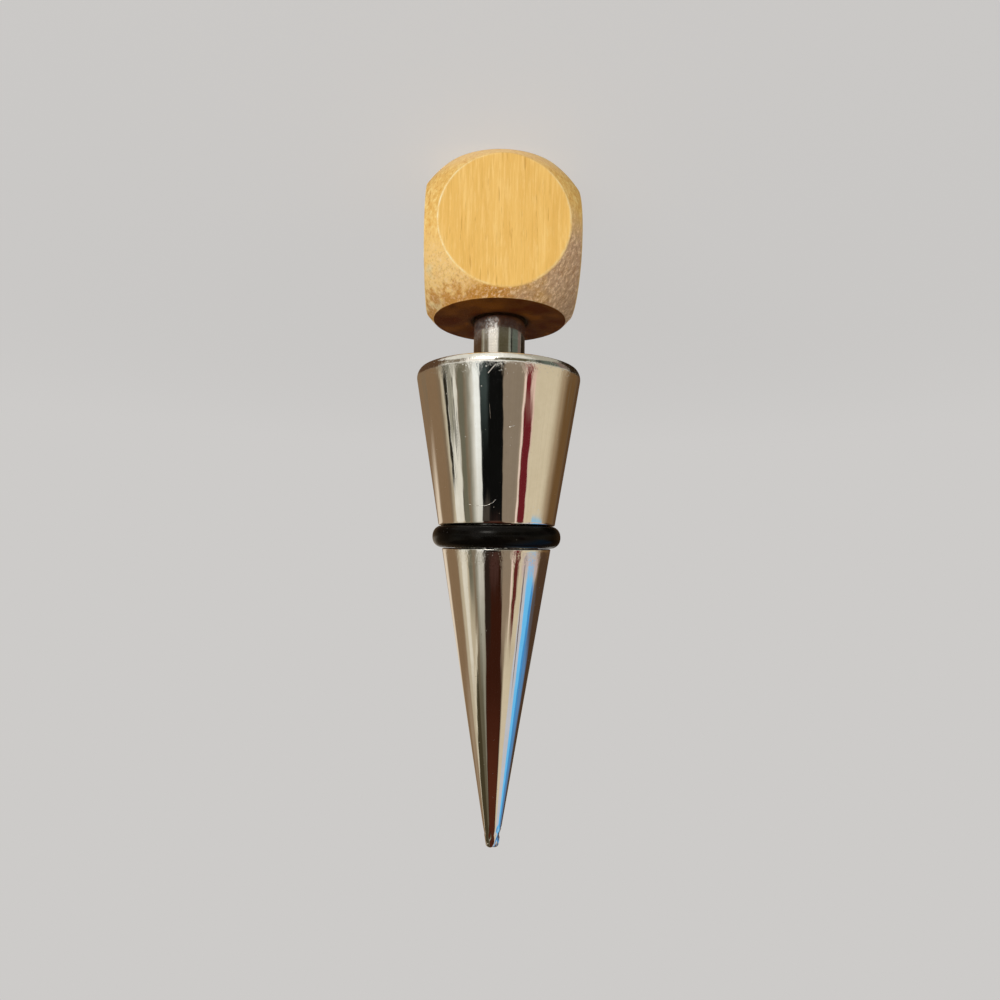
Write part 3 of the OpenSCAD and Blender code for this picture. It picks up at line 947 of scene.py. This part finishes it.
# What the metal mirrors, as cards in a room, each over the ones before it. Azimuth 0 is towards -Y and + is
# towards +X. A tone above 255 is brighter than white. With 66 cards in all the world is near the renderer's
# limit, and a few more turn it black.
ROOM_CARDS = (
    ("brown wall", 96, 0.0, 190, 0.0, -95, 60, 0.0, 6.0, 5.0, 1.0, (130, 106, 80)),
    ("pale doorway", 127, 1.6, 158, 1.6, 0, 15, 0.0, 7.0, 3.0, 1.0, (222, 205, 183)),
    ("doorway glow", 104, 0.0, 134, 0.0, 22, 29, 0.0, 6.0, 3.0, 1.0, (152, 131, 108)),
    ("pale arch", 56, 0.1, 86, 0.6, 9, 34, 0.0, 5.0, 2.0, 1.0, (186, 173, 149)),
    ("arch light", 64, 0.4, 84, 0.1, 8, 26, 0.0, 2.0, 3.0, 1.5, (216, 209, 192)),
    ("pale corner", 84, 0.0, 92.5, 0.0, -95, 9, 0.0, 2.0, 3.0, 1.5, (164, 150, 126)),
    ("bright slats", 64, 0.0, 86, 0.0, -95, 14, 0.0, 1.5, 2.0, 1.0, (220, 216, 203)),
    ("slat edge", 86, 0.0, 90, 0.0, -95, 8, 0.0, 1.0, 2.0, 1.0, (186, 176, 154)),
    ("slat shade one", 80.5, 0.0, 86.0, 0.0, -7, 9.0, 0.0, 0.9, 1.4, 2.0, (40, 37, 28)),
    ("slat shade low", 71.0, 0.0, 79.5, 0.0, -7, 6.2, 0.0, 1.2, 1.4, 2.5, (152, 148, 132)),
    ("slat shade two", 76.5, 0.0, 79.0, 0.0, -7, 0.8, 0.0, 0.8, 1.2, 2.5, (62, 60, 50)),
    ("slat shade three", 63.0, 0.0, 66.5, 0.0, 10.8, 15, 0.0, 0.8, 1.0, 1.5, (84, 78, 66)),
    ("slat shade four", 56, 0.0, 62, 0.0, 8, 15.5, 0.0, 1.2, 1.0, 2.0, (82, 78, 64)),
    ("grey frame", 52, 0.2, 61.5, 0.3, -95, 21, 0.0, 2.5, 3.0, 1.0, (103, 100, 84)),
    ("grey board", 26, 0.2, 50, 0.0, -95, 46, 0.0, 3.5, 4.0, 1.0, (138, 134, 119)),
    ("olive shade", 56, 0.0, 128, 0.0, 17.5, 60, 0.14, 8.0, 0.8, 1.0, (66, 58, 40)),
    ("arch edge", 55, 0.0, 130, 0.0, 16.1, 17.5, 0.14, 6.0, 0.6, 1.0, (208, 198, 176)),
    ("olive side", 39, 0.1, 60, 0.0, 22.5, 60, 0.1, 5.0, 4.0, 1.0, (94, 88, 70)),
    ("window glow", 25, 0.15, 44.0, 0.0, -95, 23, 0.0, 4.5, 7.0, 1.0, (205, 202, 191)),
    ("window", 24, 0.15, 39, 0.0, -95, 13, 0.0, 2.5, 6.0, 1.0, (240, 242, 237)),
    ("dark opening", -2.2, -0.3, 29.4, 0.0, -3, 18.4, 0.0, 0.9, 1.0, 0.7, (13, 13, 12)),
    ("opening rail", 18, 0.0, 28.8, 0.0, -6, 7.0, 0.0, 3.0, 5.0, 1.2, (66, 76, 74)),
    ("opening sill", 15, 0.0, 29.4, 0.0, 15.2, 18.6, 0.0, 2.5, 1.0, 1.0, (70, 64, 57)),
    ("maroon cloth", -1.5, -0.5, 23.5, 0.24, 18.6, 90, 0.0, 1.5, 1.2, 0.8, (44, 21, 12)),
    ("maroon spread", 15, -1.28, 2, 1.05, 23, 90, 0.0, 2.0, 1.5, 0.8, (52, 24, 14)),
    ("maroon dark", 13, 0.1, 24.0, 0.24, 17.5, 27, 0.0, 2.5, 2.5, 2.5, (40, 30, 24)),
    ("maroon fold", -2, 0.0, 12, 0.2, 18, 22, 0.0, 3.0, 2.0, 2.0, (70, 46, 40)),
    ("red cloth", -20, -0.1, 26, 0.3, 34, 90, 0.0, 5.0, 5.0, 2.0, (78, 38, 24)),
    ("beige wall", -34, 0.0, -2.2, -0.3, -95, 22, 0.0, 1.0, 2.5, 0.7, (134, 120, 103)),
    ("beige wall high", -36, 0.0, -2.6, -0.5, 20.5, 28, 0.0, 1.5, 3.0, 1.0, (142, 124, 104)),
    ("cream wall top", -68, 0.0, -21.0, -0.22, 26, 50, 0.0, 3.5, 3.0, 1.0, (203, 189, 163)),
    ("cream wall", -99, 0.0, -33, 0.0, -95, 27, 0.0, 2.0, 4.0, 0.7, (203, 189, 161)),
    ("cream shade", -112, 0.0, -93, 0.0, -95, 13, 0.0, 10.0, 4.0, 1.0, (154, 133, 105)),
    ("pink edge", -36.2, 0.0, -33.4, 0.0, -95, 25, 0.0, 0.8, 3.0, 1.0, (228, 203, 190)),
    ("pink edge left", -50.5, 0.0, -43.0, 0.0, 1.5, 18, 0.0, 1.8, 1.5, 1.0, (214, 184, 168)),
    ("red curtain", -42.0, -0.6, -36.0, -0.1, -95, 6.0, 0.0, 0.8, 2.0, 1.0, (110, 34, 40)),
    ("red curtain mid", -47.4, -0.2, -36.6, 0.0, 5.2, 19.2, 0.0, 0.8, 2.0, 1.4, (102, 30, 35)),
    ("red curtain high", -60, 0.55, -38.5, 0.0, 16.5, 25, 0.0, 0.8, 2.0, 2.2, (92, 38, 34)),
    ("brown wall right", -140, 0.0, -108, 0.0, -95, 17, 0.0, 9.0, 5.0, 1.0, (104, 77, 47)),
    ("dark far right", -190, 0.0, -138, 0.0, -95, 60, 0.0, 8.0, 5.0, 1.0, (86, 62, 40)),
    ("mauve lintel", -104, 0.0, -58, 0.0, 23.4, 25.2, 0.11, 3.0, 0.5, 1.0, (188, 168, 166)),
    ("brown shade right", -175, 0.0, -108, 0.0, 21.4, 60, 0.11, 5.0, 0.6, 1.0, (74, 54, 39)),
    ("slate shade", -92, -1.5, -101, 0.0, 26.2, 90, 0.11, 5.0, 1.0, 1.0, (84, 77, 78)),
    ("sky pale", -119, 0.0, -97, 0.0, 18.5, 70, 0.0, 6.0, 2.0, 1.0, (86, 132, 180)),
    ("sky", -93, 0.0, -73, 0.0, 25.0, 90, 0.11, 2.0, 0.9, 1.2, (104, 188, 240)),
    ("sky edge", -100, 0.0, -91.5, 0.0, 25.9, 60, 0.11, 1.6, 0.8, 2.0, (68, 142, 204)),
    ("sky glare", -76, 0.0, -78.8, 0.82, 18, 70, 0.0, 2.5, 1.5, 1.5, (190, 192, 200)),
    ("post stripe", -67, 0.0, -63.5, 0.0, 17.5, 27, 0.0, 1.0, 2.0, 0.8, (112, 96, 92)),
    ("back window left", 166, 0.0, 178, 0.0, 10, 60, 0.0, 1.5, 3.0, 1.0, (214, 208, 198)),
    ("back window right", -178, 0.0, -160, 0.0, 12, 60, 0.0, 1.5, 3.0, 1.0, (226, 222, 214)),
)

# The same for what lies below: its elevations sink towards the sides, by LOW_SINK at LOW_SINK_AZIMUTH.
LOW_SINK = 4.5
LOW_SINK_AZIMUTH = 80.0
LOW_CARDS = (
    ("low silver", -125, 0.0, 120, 0.0, -95, 0.5, 0.0, 8.0, 1.2, 2.0, (220, 217, 207)),
    ("low lamp", -8, 0.0, 48, 0.0, -95, 1.5, 0.0, 3.0, 1.2, 1.0, (248, 246, 238)),
    ("low silver right", -135, 0.0, -52, 0.0, -95, 0.5, 0.0, 8.0, 1.2, 2.0, (170, 165, 151)),
    ("low brown left", 86, 0.0, 190, 0.0, -32, 1, 0.0, 4.0, 2.0, 1.0, (84, 61, 43)),
    ("low grey left", 50, 0.0, 76, 0.0, -32, -6, 0.0, 5.0, 2.0, 3.0, (122, 112, 96)),
    ("low cream line", 79, 0.0, 87, 0.0, -32, -6, 0.0, 2.0, 2.0, 1.0, (140, 132, 110)),
    ("low grey", -42, 0.0, 10, 0.0, -32, -6, 0.0, 6.0, 2.0, 1.0, (86, 80, 60)),
    ("low window", 10, 0.0, 49, 0.0, -32, -6, 0.0, 7.0, 2.0, 2.0, (247, 241, 232)),
    ("low green light", -48, 0.0, -41, 0.0, -32, -6, 0.0, 1.5, 2.0, 1.0, (136, 141, 127)),
    ("low green line", -58, 0.0, -49, 0.0, -32, -6, 0.0, 1.0, 2.0, 1.0, (18, 23, 19)),
    ("low green", -90, 0.0, -58, 0.0, -32, -6, 0.0, 1.5, 2.0, 1.0, (92, 101, 92)),
    ("low mauve", -108, 0.0, -89, 0.0, -32, -5, 0.0, 2.0, 2.0, 1.0, (122, 104, 97)),
    ("low dark right", -190, 0.0, -110, 0.0, -32, 1, 0.0, 3.0, 2.0, 1.0, (40, 28, 17)),
    ("low glint", 12, 0.0, 30, 0.0, -40, -24, 0.0, 4.0, 3.0, 2.0, (730, 716, 692)),
)


ROOM_TONE = paint(120, 104, 84)
# how far a card's sides and ends wander, in degrees
SIDE_SHAKE = 1.2
END_SHAKE = 0.7


def hang_cards(tree, card, way, azimuth, elevation):
    """The room's tone with every card of both lists over it."""
    ragged = noise(tree, scaled(tree, way, (7.0, 7.0, 30.0)), 1.0, 4.0, 0.65)
    shake = span(tree, ragged, 0.25, 0.75, -SIDE_SHAKE, SIDE_SHAKE, False)
    ragged_end = noise(tree, scaled(tree, way, (30.0, 30.0, 7.0)), 1.0, 3.0, 0.6)
    level = maths(tree, "ADD", elevation, span(tree, ragged_end, 0.3, 0.7, -END_SHAKE, END_SHAKE, False))
    sideways = maths(tree, "POWER", maths(tree, "DIVIDE", azimuth, LOW_SINK_AZIMUTH), 2.0)
    low_level = maths(tree, "ADD", level, maths(tree, "MULTIPLY", sideways, LOW_SINK))
    colour = ROOM_TONE
    for rows, height in ((ROOM_CARDS, level), (LOW_CARDS, low_level)):
        for row in rows:
            one = Card(*row)
            shaken = maths(tree, "ADD", azimuth, maths(tree, "MULTIPLY", shake, one.shake))
            mask = place_group(tree, card, {
                "Azimuth": shaken, "Elevation": height, "From": one.start, "From lean": one.start_lean,
                "To": one.stop, "To lean": one.stop_lean, "Bottom": one.bottom, "Top": one.top,
                "Slope": one.slope, "Blur": one.blur, "End blur": one.end_blur})["Mask"]
            colour = mix(tree, mask, colour, paint(*one.tone))
    return colour


def break_up_cards(tree, card, azimuth, elevation, colour):
    """Broken dark slats at azimuth 66 to 84, a blue patch at -95 to -68, mottling below the horizon, and fine
    upright streaks everywhere."""
    angles = add(tree, "ShaderNodeCombineXYZ", None, {"X": azimuth, "Y": elevation}).outputs["Vector"]
    twigs = noise(tree, scaled(tree, angles, (0.42, 0.12, 1.0)), 1.0, 4.0, 0.7)
    slats = place_group(tree, card, {
        "Azimuth": azimuth, "Elevation": elevation, "From": 66.0, "To": 84.0, "Bottom": -4.0, "Top": 9.0,
        "Blur": 1.5, "End blur": 1.5})["Mask"]
    patch = place_group(tree, card, {
        "Azimuth": azimuth, "Elevation": elevation, "From": -95.0, "To": -68.0, "Bottom": 20.2, "Top": 22.6,
        "Slope": 0.11, "Blur": 2.0, "End blur": 0.25})["Mask"]
    colour = mix(tree, maths(tree, "MULTIPLY", patch, 0.8), colour, paint(126, 186, 222))
    dark_twigs = maths(tree, "MULTIPLY", slats, span(tree, twigs, 0.475, 0.43, 0.0, 0.75))
    colour = mix(tree, dark_twigs, colour, paint(46, 44, 38))
    mottle = noise(tree, scaled(tree, angles, (0.16, 0.09, 1.0)), 1.0, 5.0, 0.7)
    below = span(tree, elevation, -1.0, -6.0)
    mottle = maths(tree, "MULTIPLY", span(tree, mottle, 0.52, 0.66, 0.0, 0.45), below)
    colour = mix(tree, mottle, colour, paint(112, 108, 94))
    streaks = noise(tree, scaled(tree, angles, (0.45, 0.03, 1.0)), 1.0, 3.0, 0.6)
    shade = span(tree, streaks, 0.3, 0.7, 0.94, 1.06, False)
    shade = add(tree, "ShaderNodeCombineColor", None, {"Red": shade, "Green": shade, "Blue": shade})
    return mix(tree, 1.0, colour, shade.outputs["Color"], "MULTIPLY")


def make_room():
    """The world: a plain tone for the camera, soft light that is weaker from above, and for reflections only
    the room of soft cards."""
    world = bpy.data.worlds.new("soft_room")
    bpy.context.scene.world = world
    world.use_nodes = True
    tree = world.node_tree
    tree.nodes.clear()
    card = make_card_group()
    way = add(tree, "ShaderNodeTexCoord").outputs["Generated"]
    parts = add(tree, "ShaderNodeSeparateXYZ", None, {"Vector": way})
    backwards = maths(tree, "MULTIPLY", parts.outputs["Y"], -1.0)
    azimuth = maths(tree, "DEGREES", maths(tree, "ARCTAN2", parts.outputs["X"], backwards))
    elevation = maths(tree, "DEGREES", maths(tree, "ARCSINE", parts.outputs["Z"]))
    colour = hang_cards(tree, card, way, azimuth, elevation)
    colour = break_up_cards(tree, card, azimuth, elevation, colour)

    mirrored = add(tree, "ShaderNodeBackground", None, {"Color": colour, "Strength": 1.0})
    upper = span(tree, parts.outputs["Z"], -0.05, 0.6, 0.62, 0.17)
    soft = add(tree, "ShaderNodeCombineColor", None, {"Red": upper, "Green": upper, "Blue": upper})
    path = add(tree, "ShaderNodeLightPath")
    plain = mix(tree, path.outputs["Is Camera Ray"], soft.outputs["Color"], BACKDROP)
    plain = add(tree, "ShaderNodeBackground", None, {"Color": plain, "Strength": 1.0})
    both = add(tree, "ShaderNodeMixShader", None, {
        0: path.outputs["Is Glossy Ray"], 1: plain.outputs["Background"], 2: mirrored.outputs["Background"]})
    output = add(tree, "ShaderNodeOutputWorld")
    tree.links.new(both.outputs["Shader"], output.inputs["Surface"])


# the floor's half width, and where it starts and ends turning into the backdrop, in metres
FLOOR_REACH = 3.0
FADE_START = 0.06
FADE_END = 0.32


def make_floor():
    """A pale floor, 6 m across. It takes the shadow, and for the camera it glows up to the backdrop's tone,
    which is all that is left of it further out, so it has no horizon."""
    corners = [(-FLOOR_REACH, -FLOOR_REACH, 0.0), (FLOOR_REACH, -FLOOR_REACH, 0.0),
               (FLOOR_REACH, FLOOR_REACH, 0.0), (-FLOOR_REACH, FLOOR_REACH, 0.0)]
    mesh = bpy.data.meshes.new("floor")
    mesh.from_pydata(corners, [], [(0, 1, 2, 3)])
    floor = bpy.data.objects.new("floor", mesh)
    bpy.context.scene.collection.objects.link(floor)
    material, tree, shader = start_material("floor_pale")
    place = add(tree, "ShaderNodeTexCoord").outputs["Object"]
    away = add(tree, "ShaderNodeVectorMath", {"operation": "LENGTH"}, {0: place}).outputs["Value"]
    far = span(tree, away, FADE_START, FADE_END)
    join(tree, mix(tree, far, paint(120, 119, 118), (0.0, 0.0, 0.0, 1.0)), shader, "Base Color")
    shader.inputs["Roughness"].default_value = 0.9
    shader.inputs["Specular IOR Level"].default_value = 0.0
    shader.inputs["Emission Color"].default_value = BACKDROP
    path = add(tree, "ShaderNodeLightPath")
    near_glow = maths(tree, "ADD", maths(tree, "MULTIPLY", path.outputs["Is Camera Ray"], 0.32), 0.55)
    glow = add(tree, "ShaderNodeMix", {"data_type": "FLOAT"}, {0: far, 2: near_glow, 3: 1.0})
    join(tree, glow.outputs[0], shader, "Emission Strength")
    mesh.materials.append(material)
    floor.visible_glossy = False


# soft lamps: name, place, width and height in metres, and power in watts; all point at the head
LAMP_AIM = (0.0, 0.0, 0.02)
SOFT_LAMPS = (
    ("key_window", (0.24, -0.405, 0.065), 0.30, 0.12, 1.34),
    ("fill_right", (-0.34, -0.30, 0.07), 0.20, 0.12, 0.20),
)


def add_soft_lamp(name, place, width, height, watts):
    """A rectangular lamp that lights the pieces, but isn't seen or mirrored itself."""
    lamp = bpy.data.lights.new(name, "AREA")
    lamp.shape = "RECTANGLE"
    lamp.size = width
    lamp.size_y = height
    lamp.energy = watts
    holder = bpy.data.objects.new(name, lamp)
    bpy.context.scene.collection.objects.link(holder)
    holder.location = place
    holder.rotation_euler = (Vector(LAMP_AIM) - Vector(place)).to_track_quat("-Z", "Y").to_euler()
    holder.visible_glossy = False
    holder.visible_camera = False


# the camera: its place in millimetres, the picture's right and the way it looks, and its lens
CAMERA_PLACE = (4.984, -112.487, 62.282)
CAMERA_RIGHT = (-0.99867, -0.04970, -0.01407)
CAMERA_LOOK = (-0.04861, 0.99642, -0.06911)
SENSOR_WIDTH = 36.0
LENS = 24.20
NEAREST = 0.002
FURTHEST = 20.0


def make_camera():
    """The camera looks slightly down at the standing stopper and is turned over, so its picture has the head
    at the top."""
    place = Vector(CAMERA_PLACE) * MM
    right = Vector(CAMERA_RIGHT).normalized()
    look = Vector(CAMERA_LOOK).normalized()
    up = right.cross(look).normalized()
    right = look.cross(up).normalized()
    data = bpy.data.cameras.new("camera")
    data.sensor_width = SENSOR_WIDTH
    data.lens = LENS
    data.clip_start = NEAREST
    data.clip_end = FURTHEST
    camera = bpy.data.objects.new("camera", data)
    bpy.context.scene.collection.objects.link(camera)
    turn = Matrix((right, up, -look)).transposed().to_4x4()
    camera.matrix_world = Matrix.Translation(place) @ turn
    bpy.context.scene.camera = camera


# ---------------------------------------------------------------- putting it together
make_camera()
make_room()
make_floor()
for soft_lamp in SOFT_LAMPS:
    add_soft_lamp(*soft_lamp)

# how each node is dressed: shape, finish, node and the record's material slot
DRESSED = (
    (make_head, make_wood, "wooden_head", "head_wood"),
    (make_post, make_post_metal, "post", "post_metal"),
    (make_body, make_chrome, "cone_body", "body_chrome"),
    (make_ring, make_rubber, "seal_ring", "ring_rubber"),
)
for make_piece, make_finish, node_name, slot_name in DRESSED:
    piece = make_piece()
    piece.data.materials.append(make_finish())
    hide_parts(node_name)
    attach(piece, "root")

bpy.context.scene.view_settings.view_transform = "Standard"
bpy.context.view_layer.update()
